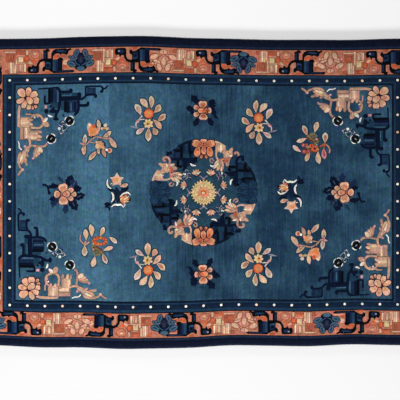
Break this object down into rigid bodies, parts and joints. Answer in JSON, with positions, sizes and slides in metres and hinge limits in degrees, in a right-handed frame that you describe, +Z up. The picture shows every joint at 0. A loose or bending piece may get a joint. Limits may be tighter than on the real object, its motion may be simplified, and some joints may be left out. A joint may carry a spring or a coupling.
{
  "type": "peking rug",
  "caption": "Flat oblong hand-knotted wool rug with an indigo field, a salmon border of frets and peonies, and slightly uneven long sides; lies on a floor as a covering.",
  "frame": {"origin": "on the floor under the middle of the rug's bounding box", "axes": "+X along the length (the warps), towards the picture's right; +Y across the width, towards the picture's top; +Z up out of the pile"},
  "size_m": [2.8, 1.8584, 0.011],
  "materials": {
    "wool_pile": "cut wool pile, matt, in indigo, navy, salmon, peach and cream on a cotton foundation"
  },
  "bodies": {
    "root": {"rug": "wool_pile"}
  },
  "joints": []
}
